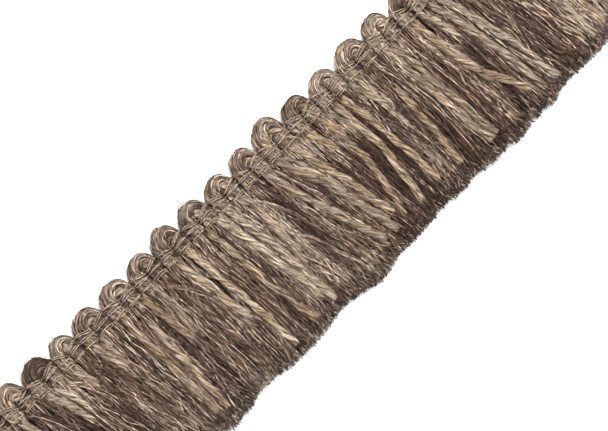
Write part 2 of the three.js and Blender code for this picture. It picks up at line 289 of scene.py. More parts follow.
def ripple(y, wave, phase=0.0):
    """A wave along y, from -1 to 1, that repeats after wave millimetres."""
    return np.sin(TURN * y / wave + phase)


# Tubes around paths. A path array has strands by points by XYZ.

TINY = 1e-6  # keeps a direction without a length from dividing by nothing


def directions(paths):
    """The level direction across each path and the one that is square to both, at every point."""
    along = np.gradient(paths, axis=1)
    along /= np.linalg.norm(along, axis=2, keepdims=True)
    across = np.cross(along, (0.0, 0.0, 1.0))
    across /= np.maximum(np.linalg.norm(across, axis=2, keepdims=True), TINY)
    return across, np.cross(across, along)


def distance_along(paths):
    """How far each point lies along its path."""
    step = np.linalg.norm(np.diff(paths, axis=1), axis=2)
    return np.concatenate([np.zeros((len(paths), 1)), np.cumsum(step, axis=1)], axis=1)


def twisted(path, plies, radius, pitch):
    """The routes of the plies that are twisted together along each path."""
    along = distance_along(path)
    across, up = directions(path)
    radius = np.broadcast_to(np.asarray(radius, float), along.shape)
    routes = []
    for k in range(plies):
        angle = along * TURN / pitch + k * TURN / plies
        offset = np.cos(angle)[..., None] * across + np.sin(angle)[..., None] * up
        routes.append(path + radius[..., None] * offset)
    return routes


def tubes(paths, radii, sides, turn):
    """Closed tubes around paths, each turned by its own angle. Gives their points, the quads of
    their walls and the caps of their ends."""
    count, length, _ = paths.shape
    across, up = directions(paths)
    angle = np.arange(sides) * TURN / sides + turn[:, None]
    ring = np.cos(angle)[:, None, :, None] * across[:, :, None, :]
    ring = ring + np.sin(angle)[:, None, :, None] * up[:, :, None, :]
    points = paths[:, :, None, :] + radii[:, :, None, None] * ring
    start = (np.arange(count) * length * sides)[:, None, None]
    row = (np.arange(length - 1) * sides)[None, :, None]
    here = np.arange(sides)[None, None, :]
    there = (here + 1) % sides
    a, b = start + row + here, start + row + there
    quads = np.stack([a, b, b + sides, a + sides], -1).reshape(-1, 4)
    first = start[:, :, 0]
    caps = np.concatenate(
        [first + np.arange(sides)[None, ::-1], first + (length - 1) * sides + np.arange(sides)]
    )
    return points.reshape(-1, 3), quads, caps


HUE_SPREAD = 0.022  # how much warmer or colder one strand is than the next
WARMER = np.array([1.0, 0.0, -1.5])  # what a warmer strand has more of, as RGB
GROOVE_SHADE = 0.48  # how light the painted shade in the groove between two plies is, as a share of the ply
GROOVE_SHADE_REACH = (0.4, 1.0)  # the painted shade is darkest this near to the plies' axis and ends this far from it
NOISE_REACH = 500  # how far apart the strands' places in the noise are


class Bunch:
    """Tubes that are gathered to become one piece, with their colours and fibre coordinates."""

    def __init__(self):
        self.points, self.quads, self.caps = [], [], []
        self.colours, self.fibres = [], []
        self.size = 0

    def add(self, paths, radii, colours, rng, sides=3, slant=0.0, axis=None):
        """Adds one tube for each path. colours are for each strand, or each point of each. slant
        turns the fibres round the tube. Where the tubes are plies round an axis, shade is painted
        into the grooves between them."""
        count, length, _ = paths.shape
        turn = rng.uniform(0, TURN, count)
        radii = np.broadcast_to(np.asarray(radii, float), (count, length))
        points, quads, caps = tubes(paths, radii, sides, turn)
        if colours.ndim == 2:
            colours = colours[:, None, :]
        colours = np.broadcast_to(colours, (count, length, 3))
        colours = colours * (1 + rng.normal(0, HUE_SPREAD, (count, 1, 1)) * WARMER)
        colours = np.repeat(colours[:, :, None, :], sides, axis=2)
        # painted shade: plies are darkened near their axis, in the grooves between them
        if axis is not None:
            out = np.linalg.norm(points.reshape(count, length, sides, 3) - axis[:, :, None, :], axis=3)
            colours = colours * (GROOVE_SHADE + (1 - GROOVE_SHADE) * smooth(out, *GROOVE_SHADE_REACH))[..., None]
        along = distance_along(paths)
        angle = (turn[:, None] + slant * along)[:, :, None] + np.arange(sides) * TURN / sides
        fibre = np.zeros((count, length, sides, 3))
        own_place = rng.uniform(0, NOISE_REACH, count)[:, None, None]
        fibre[..., 0] = own_place + radii[:, :, None] * np.cos(angle)
        fibre[..., 1] = along[:, :, None]
        fibre[..., 2] = radii[:, :, None] * np.sin(angle)
        self.points.append(points)
        self.quads.append(quads + self.size)
        self.caps.append(caps + self.size)
        self.colours.append(colours.reshape(-1, 3))
        self.fibres.append(fibre.reshape(-1, 3))
        self.size += len(points)

    def make(self, name, material, node_slot, replaces):
        """Makes the piece, gives it its material and lets it ride on the trim."""
        points = np.concatenate(self.points) * METRES
        quads = np.concatenate(self.quads)
        corners = np.concatenate([quads.ravel(), *(caps.ravel() for caps in self.caps)])
        sizes = np.concatenate([np.full(len(faces), faces.shape[1]) for faces in (quads, *self.caps)])
        mesh = bpy.data.meshes.new(name)
        mesh.vertices.add(len(points))
        mesh.vertices.foreach_set("co", points.astype(np.float32).ravel())
        mesh.loops.add(len(corners))
        mesh.loops.foreach_set("vertex_index", corners.astype(np.int32))
        mesh.polygons.add(len(sizes))
        starts = np.concatenate([[0], np.cumsum(sizes)[:-1]])
        mesh.polygons.foreach_set("loop_start", starts.astype(np.int32))
        mesh.update(calc_edges=True)
        mesh.shade_smooth()
        colour = mesh.color_attributes.new("yarn_colour", "FLOAT_COLOR", "POINT")
        rgba = np.ones((len(points), 4), np.float32)
        rgba[:, :3] = np.concatenate(self.colours)
        colour.data.foreach_set("color", rgba.ravel())
        fibre = mesh.attributes.new("fibre", "FLOAT_VECTOR", "POINT")
        fibre.data.foreach_set("vector", np.concatenate(self.fibres).astype(np.float32).ravel())
        mesh.materials.append(material)
        piece = bpy.data.objects.new(name, mesh)
        bpy.context.scene.collection.objects.link(piece)
        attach(piece, BODY)
        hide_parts(*replaces)
        print(f"{name}: {int((sizes - 2).sum())} triangles")


SHEEN = 0.15
SHEEN_TINT = (1.0, 0.88, 0.78, 1)
STREAK_DETAIL = 2.0
STREAK_ROUGHNESS = 0.6
STREAK_DARK, STREAK_LIGHT = 0.32, 0.68  # the noise values that give the darkest and lightest streaks
FIBRE_HEIGHT = 0.05


def set_inputs(node, values):
    for name, value in values.items():
        node.inputs[name].default_value = value


def yarn_material(name, roughness, streak, across, along, bump):
    """Fine spun fibre: the strand's own colour, with streaks along it and a fibrous bump. streak
    is how strong they are, and across and along are how many follow each other in a millimetre."""
    material = bpy.data.materials.new(name)
    material.use_nodes = True
    nodes, links = material.node_tree.nodes, material.node_tree.links
    shader = nodes["Principled BSDF"]
    set_inputs(shader, {"Roughness": roughness, "Specular IOR Level": SHEEN, "Specular Tint": SHEEN_TINT})
    colour = nodes.new("ShaderNodeVertexColor")
    colour.layer_name = "yarn_colour"
    place = nodes.new("ShaderNodeAttribute")
    place.attribute_name = "fibre"
    stretch = nodes.new("ShaderNodeVectorMath")
    stretch.operation = "MULTIPLY"
    stretch.inputs[1].default_value = (across, along, across)
    links.new(place.outputs["Vector"], stretch.inputs[0])
    noise = nodes.new("ShaderNodeTexNoise")
    set_inputs(noise, {"Scale": 1.0, "Detail": STREAK_DETAIL, "Roughness": STREAK_ROUGHNESS})
    links.new(stretch.outputs["Vector"], noise.inputs["Vector"])
    shade = nodes.new("ShaderNodeMapRange")
    set_inputs(shade, {"From Min": STREAK_DARK, "From Max": STREAK_LIGHT,
                       "To Min": 1.0 - streak, "To Max": 1.0 + streak})
    links.new(noise.outputs["Fac"], shade.inputs["Value"])
    tinted = nodes.new("ShaderNodeVectorMath")
    tinted.operation = "SCALE"
    links.new(colour.outputs["Color"], tinted.inputs[0])
    links.new(shade.outputs["Result"], tinted.inputs["Scale"])
    links.new(tinted.outputs["Vector"], shader.inputs["Base Color"])
    raised = nodes.new("ShaderNodeBump")
    set_inputs(raised, {"Strength": bump, "Distance": FIBRE_HEIGHT * METRES})
    links.new(noise.outputs["Fac"], raised.inputs["Height"])
    links.new(raised.outputs["Normal"], shader.inputs["Normal"])
    return material


LOOP_YARN = yarn_material("looped_yarn", 0.60, 1.10, 3.4, 0.4, 0.6)
SKIRT_YARN = yarn_material("silky_yarn", 0.50, 1.20, 3.0, 0.6, 0.4)
PLIED_YARN = yarn_material("plied_yarn", 0.60, 0.92, 3.4, 0.35, 0.6)
THREAD_YARN = yarn_material("binding_thread", 0.70, 0.40, 3.0, 1.0, 0.5)

SHADE_SPREAD = 0.15  # how much the shades of most fine strands differ
DARKER_BY = (0.14, 0.42)
LIGHTER_BY = (0.22, 0.58)


def fine_shades(rng, base, dark, light):
    """How light each fine strand is. Most are near the base, a share that is called dark is
    darker, and a share that is called light is lighter."""
    pick = rng.uniform(0, 1, base.shape)
    shade = base + rng.normal(0, SHADE_SPREAD, base.shape)
    shade = np.where(pick < dark, shade - rng.uniform(*DARKER_BY, base.shape), shade)
    return np.where(pick > 1 - light, shade + rng.uniform(*LIGHTER_BY, base.shape), shade)


def own_radii(rng, radius, column):
    """The radii of fine strands, which differ a little."""
    return radius * rng.uniform(0.8, 1.2, column)


# Loops and legs

def place_loops():
    """Each loop with the X of its left edge."""
    left = -HALF_LENGTH
    placed = []
    for loop in LOOPS:
        placed.append((loop, left))
        left += loop.width
    return placed


PLACED = place_loops()
LEG_X = np.array([left + loop.width * s for loop, left in PLACED for s in (0.25, 0.75)])
LEG_HALF = np.array([loop.width * 0.25 for loop, _ in PLACED for _ in range(2)])
LEG_SHADE = np.array([s for loop, _ in PLACED for s in (loop.left, loop.right)])
SKIRT_SHADE = np.array([s for loop, _ in PLACED for s in (loop.skirt_left, loop.skirt_right)])
ROW_Y = (1.5, 0.1, -1.9)  # the middles of the binding rows

# How thick a bundle is in its legs, which the rows pinch, and how wide as a share of its room
LEG_Y = [-3.6, -1.9, -0.95, 0.1, 0.8, 1.5, 2.3]
LEG_THICK = [3.5, 2.8, 3.6, 2.8, 3.4, 3.2, 3.8]
LEG_WIDTH = [1.04, 0.94, 1.03, 0.94, 1.02, 0.98, 1.02]
ARC_FOOT_THICK = 3.4
CROWN_THICK = 4.1
CROWN_WIDTH = 1.04

LOOP_MIDDLE_Y = 1.1  # where the arcs turn over
LOOP_FILL = 0.97  # half the width of a bundle, as a share of the radius of its bend
BUNDLE_POINTS = 26
LOOP_YARNS = 3  # plied yarns side by side in a loop's bundle
LOOP_PLIES = 3
LOOP_PITCH = 7.0
LOOP_SLANT = -0.5
YARN_TURN = 2.1  # how much further the plies of each yarn are turned than those of the one before
YARN_SHARE = 0.52  # where the yarns and plies lie, as shares of the bundle's half width
PLY_SHARE = 0.27
LOOP_PLY_RADIUS = 0.60
LOOSE_PER_PLY = 2  # fine strands that stand out a little from each ply
LOOSE_SHARE = 0.29
LOOSE_RADIUS = 0.12
LOOSE_PITCH = 1.3  # the pitch of such strands, as a share of their plies' pitch
LOOP_TONE = 0.80
RIM_SHARE = 0.7  # how much of the rim's own shade the outermost arcs take
HOLLOW_SHADE = 0.3  # how much darker painted shade makes the innermost arcs, in the hollow of the loop
ROW_SHADOW_HALF = 0.45  # half the width of the painted shadow where a row presses on the legs
# how much the painted shadow along each binding row darkens the legs
ROW_SHADOW = 0.22


def face_height(y):
    return np.interp(y, FACE_Y, FACE_Z)


def leg_tone(value):
    """How light a leg's yarn is, from what its loop's row in the table says."""
    return 0.30 + 0.32 * value


def arc_tone(loop, outer, inner):
    """How light a loop's arcs are, from how near they are to its rim and to its inside, where shade is
    painted on them.
    """
    is_rim = RIM_SHARE * outer
    return loop.arcs * (1 - is_rim) + loop.rim * is_rim - HOLLOW_SHADE * inner


def bundle_route(loop, left, points):
    """The middle of a loop's bundle from the left leg to the right, its outward direction and
    how much of its turn it has made."""
    bend = loop.width / 4
    centre = left + loop.width / 2
    tall = (loop.rise - LOOP_MIDDLE_Y) / (bend * (1 + LOOP_FILL))
    low = LEG_Y[0]
    leg_length = LOOP_MIDDLE_Y - low
    arc_length = math.pi * bend * (1 + tall) / 2
    total = 2 * leg_length + arc_length
    s = np.linspace(0, total, points)
    turn = np.clip((s - leg_length) / arc_length, 0, 1) * math.pi
    outward = np.stack([-np.cos(turn), np.sin(turn) * tall], 1)
    y = LOOP_MIDDLE_Y + bend * outward[:, 1]
    y = np.where(s < leg_length, low + s, y)
    y = np.where(s > total - leg_length, low + total - s, y)
    x = centre + bend * outward[:, 0]
    return np.stack([x, y], 1), outward, turn / math.pi


def loop_bundle(bunch, loop, left, rng):
    """The plies of one loop: plied yarns that lie side by side and turn over together."""
    middle, outward, turned = bundle_route(loop, left, BUNDLE_POINTS)
    bend = loop.width / 4
    along = distance_along(middle[None])
    plies = LOOP_YARNS * LOOP_PLIES
    column = (plies, 1)
    yarn = np.arange(plies) // LOOP_PLIES
    ply = np.arange(plies) % LOOP_PLIES
    pitch = LOOP_PITCH * rng.uniform(0.85, 1.15)
    slow = math.pi + rng.normal(0, 0.3) + yarn * TURN / LOOP_YARNS
    slow = slow[:, None] + rng.uniform(0.3, 1.4) * (turned - 0.5)
    quick = (yarn * YARN_TURN + ply * TURN / LOOP_PLIES)[:, None] + along * TURN / pitch
    y = middle[:, 1]
    crown = smooth(outward[:, 1], 0.0, 1.0)
    thick = np.interp(y, LEG_Y, LEG_THICK) * (1 - crown) + CROWN_THICK * crown
    wide = np.interp(y, LEG_Y, LEG_WIDTH) * (1 - crown) + CROWN_WIDTH * crown
    sunk = 0.5 * smooth(y, -2.6, -3.8)  # the lower ends of the legs, where the skirt begins
    in_arc = smooth(turned, 0.03, 0.16) * smooth(1 - turned, 0.03, 0.16)
    legs = leg_tone(np.where(turned < 0.5, loop.left, loop.right))

    def plies_at(share):
        """How far across and above the bundle's middle its plies lie, as shares of its half."""
        across = -(YARN_SHARE * np.cos(slow) + share * np.cos(quick))
        return across, YARN_SHARE * np.sin(slow) + share * np.sin(quick)

    def place(a, b, radius):
        paths = np.zeros((len(a), BUNDLE_POINTS, 3))
        paths[:, :, :2] = middle + outward * (a * bend * wide)[:, :, None]
        paths[:, :, 2] = np.maximum(thick / 2 + b * (thick / 2) - sunk, radius * 1.3)
        return paths

    def tone(a, own):
        arcs = arc_tone(loop, smooth(a, 0.1, 0.8), smooth(-a, 0.2, 0.8))
        # painted shadow on the legs along each binding row
        row_shadow = sum(np.exp(-((y - row) / ROW_SHADOW_HALF) ** 2) for row in ROW_Y) * (1 - in_arc)
        light = LOOP_TONE * (legs * (1 - in_arc) + arcs * in_arc)
        return light + own[:, None] - ROW_SHADOW * row_shadow

    a, b = plies_at(PLY_SHARE)
    paths = place(a, b, LOOP_PLY_RADIUS)
    axis = place(*plies_at(0.0), LOOP_PLY_RADIUS)
    own = rng.normal(0, 0.07, LOOP_YARNS)[yarn] + rng.normal(0, 0.07, plies)
    tan = (rng.uniform(0, 1, column) < 0.2) * rng.uniform(0.2, 0.6, column)
    radius = LOOP_PLY_RADIUS * rng.uniform(0.9, 1.1, column)
    bunch.add(paths, radius, yarn_colour(tone(a, own), tan), rng, 6, LOOP_SLANT, axis)
    for _ in range(LOOSE_PER_PLY):
        turn = rng.uniform(0, TURN, column) - along * TURN / (pitch * LOOSE_PITCH)
        share = LOOSE_SHARE * rng.uniform(0.9, 1.25, column)
        loose = place(a - share * np.cos(turn), b + share * np.sin(turn), LOOSE_RADIUS)
        own = fine_shades(rng, own, 0.5, 0.25)
        bunch.add(loose, own_radii(rng, LOOSE_RADIUS, column), yarn_colour(tone(a, own)), rng)


FAN_STRANDS = 44  # fine strands on a loop's front
FAN_RADIUS = 0.13
FAN_POINTS = 9
FAN_START = (-0.12, 0.45)  # where they start on the way from leg to leg, which is 0 to 1
FAN_REACH = (0.45, 0.9)  # and how far they go


def loop_fan(bunch, loop, left, rng):
    """Fine strands on a loop's front that cross it from its inner left to its outer right."""
    column = (FAN_STRANDS, 1)
    reach = loop.width / 4 * (1 + LOOP_FILL)
    rise = loop.rise - LOOP_MIDDLE_Y
    points = np.linspace(0, 1, FAN_POINTS)
    first = rng.uniform(*FAN_START, column)
    last = np.minimum(first + rng.uniform(*FAN_REACH, column), 1.0)
    share = first + (last - first) * points
    turn = np.maximum(share, 0) * math.pi
    order = (np.arange(FAN_STRANDS) + rng.uniform(0, 1, FAN_STRANDS))[:, None] / FAN_STRANDS
    inner = np.clip(order * 1.2 + rng.uniform(0.6, 0.95) * (0.45 - share), 0, 1)
    start, end = -reach * (0.95 - 0.85 * inner), reach * (0.95 - 0.35 * inner)
    x = (start + end) / 2 - (end - start) / 2 * np.cos(turn)
    y = rise * (0.96 - 0.5 * inner) * np.sin(turn - 0.2 * np.sin(turn))
    y = y + rng.normal(0, 0.1, column) * np.sin(2 * turn) + 12 * np.minimum(share, 0)
    out = np.hypot(x, y * reach / rise) * 4 / loop.width - 1
    thick = ARC_FOOT_THICK + (CROWN_THICK - ARC_FOOT_THICK) * smooth(y, 0, rise / 2)
    z = thick / 2 * (1 + np.sqrt(1 - 0.85 * np.clip(out, 0, 1) ** 2))
    # Both ends of a strand sink among the plies, and so does what comes near the right leg
    z = z + rng.uniform(-0.1, 0.25, column) - 0.7 * smooth(points, 0.8, 1.0) - 0.5 * smooth(points, 0.2, 0)
    z = z - 0.8 * smooth(share, 0.8, 1.0)
    paths = np.stack([x + left + loop.width / 2, y + LOOP_MIDDLE_Y, z], 2)
    legs = leg_tone(loop.left * (1 - share) + loop.right * share)
    arcs = arc_tone(loop, smooth(1 - inner, 0.75, 0.95), smooth(inner, 0.7, 0.95))
    in_arc = smooth(share, 0.0, 0.12) * smooth(1 - share, 0.0, 0.12)
    own = fine_shades(rng, np.full(column, 0.02), 0.30, 0.14)
    tone = LOOP_TONE * (legs * (1 - in_arc) + arcs * in_arc) + 0.8 * own
    bunch.add(paths, FAN_RADIUS * rng.uniform(0.75, 1.35, column), yarn_colour(tone), rng)


CORE_POINTS = 15  # for the thick yarn that fills the inside of a bundle
CORE_RADIUS = 1.35
CORE_Z = 1.75
# how much darker the core is than its legs, as painted shade inside the bundle
CORE_SHADE = 0.15


def make_loops():
    rng = np.random.default_rng(11)
    fan_rng = np.random.default_rng(41)
    bunch, core, fans = Bunch(), Bunch(), Bunch()
    for loop, left in PLACED:
        loop_fan(fans, loop, left, fan_rng)
        loop_bundle(bunch, loop, left, rng)
        middle, _, turned = bundle_route(loop, left, CORE_POINTS)
        path = np.column_stack([middle, np.full(CORE_POINTS, CORE_Z)])[None]
        # the core is painted darker than its legs, as shade inside the bundle
        tone = leg_tone(np.where(turned < 0.5, loop.left, loop.right)) - CORE_SHADE
        core.add(path, CORE_RADIUS, yarn_colour(tone)[None], rng, sides=8)
    bunch.make("loop_yarns", LOOP_YARN, "looped_yarn", replaces=["heading"])
    core.make("loop_cores", LOOP_YARN, "looped_yarn", replaces=["heading"])
    fans.make("loop_fans", LOOP_YARN, "looped_yarn", replaces=["heading"])


FILLING_Y = np.arange(-3.3, 2.3, 0.5)
FILLING_Z = 1.3
FILLING_RADIUS = 0.36
FILLING_POINTS = 90


def make_filling():
    """The yarns that run along the trim behind the legs and close the valleys between them."""
    rng = np.random.default_rng(3)
    y = FILLING_Y[:, None]
    x = np.linspace(-HALF_LENGTH + 0.2, HALF_LENGTH - 0.2, FILLING_POINTS)
    paths = np.zeros((len(FILLING_Y), FILLING_POINTS, 3))
    paths[..., 0] = x
    paths[..., 1] = y + 0.08 * np.sin(x * 1.9 + y * 3)
    paths[..., 2] = FILLING_Z + 0.15 * np.sin(x * 2.3 + y * 5)
    colour = yarn_colour(rng.normal(0.16, 0.1, len(FILLING_Y)))
    bunch = Bunch()
    bunch.add(paths, FILLING_RADIUS, colour, rng, sides=5)
    bunch.make("filling_yarns", LOOP_YARN, "looped_yarn", replaces=["heading"])


# The binding rows: the middle of each, how far it swings along with the loops, and its height
BINDING_ROWS = [("binding_row_top", ROW_Y[0], 0.62, 3.85), ("binding_row_middle", ROW_Y[1], 0.16, 3.45),
                ("binding_row_bottom", ROW_Y[2], 0.08, 3.5)]
THREAD_POINTS = 9  # over each leg
THREAD_DIP = 1.7  # how high a thread lies between two legs
THREAD_GAP = 0.25  # how far from the middle of its row it lies over a leg
THREAD_OFFSET = 0.075  # how far its two plies lie from its axis
THREAD_RADIUS = 0.09
THREAD_PITCH = 1.3
THREAD_TONE = 0.70
THREAD_TAN = 0.1


def thread_route(rng, row_y, swing, sign, crest):
    """One of the two threads of a binding row: side by side over each leg, crossed between."""
    share = np.linspace(-1, 1, THREAD_POINTS, endpoint=False)
    over = np.sqrt(np.clip(1 - np.abs(share * 0.98) ** 3.2, 0, 1))
    xs, ys, zs = [], [], []
    for n, (x, half) in enumerate(zip(LEG_X, LEG_HALF)):
        side = sign * (1 if n % 2 == 0 else -1)
        loop_share = (0.25 if n % 2 == 0 else 0.75) + share * 0.25
        gap = rng.normal(THREAD_GAP, 0.07)
        drift = rng.normal(0, 0.09) + rng.normal(0, 0.13) * share
        drift = drift + rng.uniform(0.02, 0.22) * (1 - share**2)
        xs.append(x + share * half)
        ys.append(row_y + swing * np.cos(TURN * loop_share) + (drift + side * gap) * over)
        zs.append(THREAD_DIP + (crest - THREAD_DIP) * over)
    return np.stack([np.concatenate(xs), np.concatenate(ys), np.concatenate(zs)], 1)


def make_binding():
    rng = np.random.default_rng(5)
    for name, row_y, swing, crest in BINDING_ROWS:
        bunch = Bunch()
        for sign in (-1, 1):
            path = thread_route(rng, row_y, swing, sign, crest)[None]
            path = path + rng.normal(0, 0.02, path.shape)
            for ply in twisted(path, 2, THREAD_OFFSET, THREAD_PITCH):
                # where a thread dips between two legs it is painted darker, as shade
                on_top = smooth(ply[..., 2], 2.2, crest - 0.15)
                tone = rng.normal(THREAD_TONE, 0.14, ply.shape[:2]) - 0.5 * (1 - on_top)
                bunch.add(ply, THREAD_RADIUS, yarn_colour(tone, THREAD_TAN), rng, sides=4)
        bunch.make(f"thread_{name}", THREAD_YARN, "binding_thread", replaces=[name])


# The skirt

LIGHTEST = 0.84  # how light the fine yarns get
FACE_SHORT = 2.6  # how much shorter the strands on the skirt's face are than those under them
END_SLACK = 0.6  # how far strands may stand out at the two ends
OWN_LEAN = 0.45  # how much the single strands of a lock lean away from each other

# A tuft is a slender group of yarns. u is its place across its leg, from -1 to 1. phase, amp,
# wave and bow bend it, and lift is how much higher it lies.
Tuft = namedtuple("Tuft", "leg u phase amp wave bow lift shade")

# A lock is a group of fine strands that wave and lean together. root_x, tip_x and tip_y place its
# middle line. root, waist and tip are half its width there. deep is how far its top lies under the
# skirt's face. bow, amp, wave and phase bend it, and twist turns its strands round each other.
Lock = namedtuple("Lock", "leg root_x tip_x tip_y root waist tip thick deep bow amp wave phase twist shade")


def make_tufts(rng, per_leg):
    legs = np.repeat(np.arange(len(LEG_X)), per_leg)
    n = len(legs)
    return Tuft(
        leg=legs,
        u=rng.uniform(-1, 1, n),
        phase=rng.uniform(0, TURN, n),
        amp=rng.uniform(0.1, 0.5, n),
        wave=rng.uniform(14, 30, n),
        bow=rng.normal(0, 0.9, n),
        lift=rng.normal(0, 0.25, n),
        shade=rng.normal(0, 0.10, n),
    )


def make_end_tufts(rng, per_end):
    """Tufts close to the two ends of the trim, which fill its end faces and bend less."""
    tufts = make_tufts(rng, 1)
    count = 2 * per_end
    legs = np.repeat([0, len(LEG_X) - 1], per_end)
    u = np.repeat([-1.0, 1.0], per_end) * rng.uniform(0.8, 1.5, count)
    phase, amp, wave, bow, lift, shade = (np.resize(column, count) for column in tufts[2:])
    return Tuft(legs, u, phase, amp, wave, bow * 0.5, lift * 0.5, shade)


def edge_height(x):
    return np.interp(x, EDGE_X, EDGE_Y)


def make_locks(rng, per_leg, deep, short, lighter):
    """Locks under every leg. deep and short give the range of their depth and how far their tips
    stay from the skirt's edge."""
    leg = np.repeat(np.arange(len(LEG_X)), per_leg)
    n = len(leg)
    share = np.tile((np.arange(per_leg) + 0.5) / per_leg * 2 - 1, len(LEG_X))
    root_x = LEG_X[leg] + LEG_HALF[leg] * (0.75 * share + rng.normal(0, 0.2, n))
    lean = np.interp(root_x, LEAN_X, LEAN_TIP) + rng.normal(0, 2.4, n)
    return Lock(
        leg=leg,
        root_x=root_x,
        tip_x=root_x + lean,
        tip_y=edge_height(root_x + lean) + rng.uniform(*short, n),
        root=rng.uniform(0.5, 0.9, n),
        waist=rng.uniform(0.55, 1.05, n),
        tip=rng.uniform(0.8, 2.0, n),
        thick=rng.uniform(0.3, 0.6, n),
        deep=rng.uniform(*deep, n),
        bow=rng.normal(0, 0.8, n),
        amp=rng.uniform(0.25, 1.0, n),
        wave=rng.uniform(8, 17, n),
        phase=rng.uniform(0, TURN, n),
        twist=rng.uniform(-3.2, 3.2, n),
        shade=SKIRT_SHADE[leg] + rng.normal(0, 0.12, n) + lighter,
    )


def picked(group, k):
    """The rows k of a group of tufts or locks, with each value as a column."""
    return type(group)(*(np.asarray(values)[k][:, None] for values in group))


def within_ends(x):
    return np.clip(x, -HALF_LENGTH - END_SLACK, HALF_LENGTH + END_SLACK)


def above_floor(z, radius):
    return np.maximum(z, radius * 1.2 + 0.02)


def patch_shade(x, y):
    """How much darker the fine yarns are at a place on the skirt."""
    darker = np.zeros(np.broadcast(x, y).shape)
    for patch in PATCHES:
        inside = smooth(x, patch.left - 1, patch.left + 1) * smooth(x, patch.right + 1, patch.right - 1)
        inside = inside * smooth(y, patch.bottom - 2, patch.bottom + 2)
        darker += patch.darker * inside * smooth(y, patch.top + 2, patch.top - 2)
    return darker


def shade_cut_ends(colour, y, tip_y, depth, amount):
    """Blends the colour of strands towards the painted shade of their cut ends, over the last few
    millimetres.
    """
    cut = smooth(y, tip_y + depth, tip_y)[..., None] * amount
    return colour * (1 - cut) + linear(CUT_END_SHADE) * cut


def lock_strands(rng, locks, each, radius, points, dark, light):
    """The fine strands of some locks. Gives their paths, radii and colours. dark and light are
    the shares of them that are much darker and much lighter."""
    k = np.repeat(np.arange(len(locks.leg)), each)
    column = (len(k), 1)
    lock = picked(locks, k)
    t = np.linspace(0, 1, points)
    root_y = rng.uniform(-1.9, -1.4, column)
    tip_y = lock.tip_y + rng.normal(0, 0.3, column)
    y = root_y + (tip_y - root_y) * t
    middle = lock.root_x + (lock.tip_x - lock.root_x) * t**1.2 + lock.bow * np.sin(math.pi * t)
    middle = middle + lock.amp * ripple(y, lock.wave, lock.phase) * smooth(t, 0, 0.25)
    half = lock.root + (lock.waist - lock.root) * smooth(t, 0, 0.3) + (lock.tip - lock.waist) * t**2
    angle = rng.uniform(0, TURN, column) + lock.twist * t * rng.uniform(0.5, 1.5, column)
    r = np.sqrt(rng.uniform(0.05, 1, column))
    own_wave = rng.uniform(4.5, 12, column)
    own_amp = rng.uniform(0.04, 0.32, column) * smooth(t, 0, 0.2)
    own_phase = rng.uniform(0, TURN, column)
    x = middle + r * np.cos(angle) * half + own_amp * ripple(y, own_wave, own_phase)
    x = x + np.random.default_rng(len(k)).normal(0, OWN_LEAN, column) * t**1.5
    x = within_ends(x)
    z = face_height(y) - lock.deep - lock.thick * (1 - r * np.sin(angle)) * smooth(t, -0.2, 0.2)
    rise = rng.uniform(0.05, 0.28, column) * smooth(t, 0, 0.2)
    z = z + rise * ripple(y, rng.uniform(5, 10, column), own_phase)
    paths = np.stack([x, y, above_floor(z, radius)], -1)
    light = np.clip(light * (0.3 + 3 * lock.shade), 0.02, 0.4)
    shade = fine_shades(rng, lock.shade, dark, light)
    shade = shade + 0.10 * ripple(y, rng.uniform(9, 22, column), own_phase) - patch_shade(x, y)
    near_leg = leg_tone(LEG_SHADE[lock.leg]) * 0.9 - lock.shade
    shade = shade + near_leg * 0.6 * smooth(y, -7.0, -2.2)
    tan = (rng.uniform(0, 1, column) < 0.15) * rng.uniform(0.1, 0.7, column)
    colour = silky_colour(np.minimum(shade, LIGHTEST), tan)
    # the cut ends get painted shade
    return paths, own_radii(rng, radius, column), shade_cut_ends(colour, y, tip_y, 0.8, 0.45)


def silky(rng, tufts, count, depth, radius, points, spread=1.0, wander=1.0, lighter=0.0):
    """Fine loose strands of the skirt. Gives their paths, radii and colours. depth is how far
    they lie under the skirt's face, from and to."""
    k = rng.integers(0, len(tufts.leg), count)
    tuft = picked(tufts, k)
    column = (count, 1)
    level = 1 - rng.uniform(*depth, column) / FACE_Z[1]
    root_x = LEG_X[tuft.leg] + tuft.u * 0.86 * LEG_HALF[tuft.leg]
    lean = np.interp(root_x, LEAN_X, LEAN_TIP) * (0.35 + 0.65 * level)
    tip_x = root_x + lean + tuft.u * 0.5 * spread
    own_x = rng.normal(0, 0.45, column)
    own_tip = rng.normal(0, 0.75, column) * spread
    t = np.linspace(0, 1, points)
    root_y = rng.uniform(-2.6, -1.4, column)
    tip_y = edge_height(tip_x) + FACE_SHORT * np.clip(level, 0, 1) ** 1.5 + rng.normal(0, 0.3, column)
    y = root_y + (tip_y - root_y) * t
    x = root_x + (tip_x - root_x) * t**1.25 + tuft.bow * np.sin(math.pi * t)
    x = x + tuft.amp * ripple(y, tuft.wave, tuft.phase) * smooth(t, 0, 0.3)
    gather = 1 - 0.45 * np.sin(math.pi * np.clip(t * 1.1, 0, 1))
    x = x + own_x * gather + own_tip * t**1.5
    own_wave = rng.uniform(6, 15, column)
    own_amp = rng.uniform(0.03, 0.22, column) * wander
    x = x + own_amp * ripple(y, own_wave, rng.uniform(0, TURN, column)) * smooth(t, 0, 0.2)
    x = within_ends(x)
    z = face_height(y) * level + tuft.lift * smooth(t, 0.05, 0.3)
    own_rise = rng.uniform(0.02, 0.12, column)
    z = z + own_rise * ripple(y * 1.3, own_wave, rng.uniform(0, TURN, column))
    paths = np.stack([x, y, above_floor(z, radius)], -1)
    shade = fine_shades(rng, SKIRT_SHADE[tuft.leg] + tuft.shade + lighter, 0.4, 0.15)
    tan = (rng.uniform(0, 1, column) < 0.12) * rng.uniform(0.1, 0.6, column)
    colour = silky_colour(np.minimum(shade - patch_shade(x, y), LIGHTEST), tan)
    radii = own_radii(rng, radius, column)
    # painted shade at the cut ends, over a length that differs for each strand
    dark_for = rng.uniform(1.4, 3.6, column)
    return paths, radii, shade_cut_ends(colour, y, tip_y, dark_for, 0.6)


